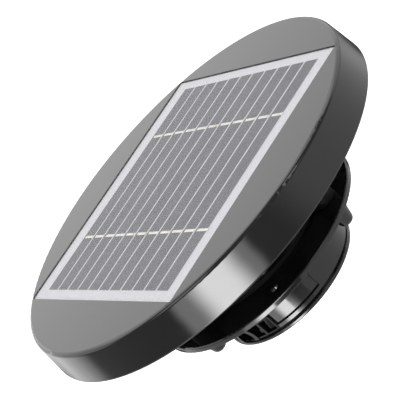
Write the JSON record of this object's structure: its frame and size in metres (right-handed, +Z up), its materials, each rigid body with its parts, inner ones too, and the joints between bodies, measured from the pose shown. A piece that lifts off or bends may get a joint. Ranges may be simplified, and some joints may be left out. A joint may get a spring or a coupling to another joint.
{
  "type": "solar attic fan",
  "caption": "Round solar roof vent: a flat black cap with a solar panel stands on posts over a roof flange whose collar holds a small motor and impeller.",
  "frame": {"origin": "centre of the roof flange's underside, on the fan's axis", "axes": "+Z up along the fan's axis, away from the roof; Y along the solar panel's cell strips"},
  "size_m": [0.1998, 0.1998, 0.0763],
  "materials": {
    "gloss_black_plastic": "moulded ABS, polished",
    "satin_black_plastic": "moulded ABS, satin",
    "white_board": "white backsheet on glass-fibre board",
    "silicon_cell": "antireflection-coated silicon, fine grain",
    "tinned_ribbon": "tinned copper ribbon",
    "clear_film": "clear encapsulating film, slightly frosted",
    "foam_tape": "closed-cell adhesive foam",
    "black_rubber": "EPDM rubber, matte",
    "screw_steel": "stainless steel",
    "can_steel": "zinc-plated drawn steel",
    "motor_plastic": "glass-filled nylon, off-white",
    "ferrite": "sintered ferrite",
    "sintered_bronze": "oil-filled sintered bronze",
    "brass_tab": "pressed brass",
    "carbon": "pressed carbon graphite",
    "lamination_steel": "stacked silicon-steel laminations",
    "enamelled_copper": "enamelled copper wire, wound",
    "nylon": "natural nylon",
    "red_insulation": "PVC insulation",
    "black_insulation": "PVC insulation",
    "impeller_plastic": "moulded ABS, satin",
    "screen_wire": "woven stainless wire"
  },
  "bodies": {
    "housing": {"top_cover": "gloss_black_plastic", "panel_seal": "foam_tape", "panel_board": "white_board", "solar_cells": "silicon_cell", "cell_ribbons": "tinned_ribbon", "panel_film": "clear_film", "panel_terminals": "tinned_ribbon", "lead_grommet": "black_rubber", "lead_red": "red_insulation", "lead_black": "black_insulation", "support_posts": "satin_black_plastic", "cover_screws": "screw_steel", "vent_base": "gloss_black_plastic", "roof_seal": "black_rubber", "intake_grille": "gloss_black_plastic", "insect_screen": "screen_wire", "motor_bracket": "satin_black_plastic", "bracket_screws": "screw_steel", "motor_cover": "satin_black_plastic", "motor_can": "can_steel", "motor_screws": "screw_steel", "motor_end_cap": "motor_plastic", "motor_terminals": "brass_tab", "motor_brushes": "carbon", "motor_magnets": "ferrite", "front_bush": "sintered_bronze", "rear_bush": "sintered_bronze"},
    "rotor": {"motor_shaft": "screw_steel", "armature_core": "lamination_steel", "armature_coils": "enamelled_copper", "commutator": "brass_tab", "thrust_washers": "nylon", "impeller": "impeller_plastic"}
  },
  "joints": [
    {"name": "fan_spin", "type": "hinge", "parent": "housing", "child": "rotor", "pos_m": [0, 0, 0], "axis": [0, 0, 1], "continuous": true}
  ]
}
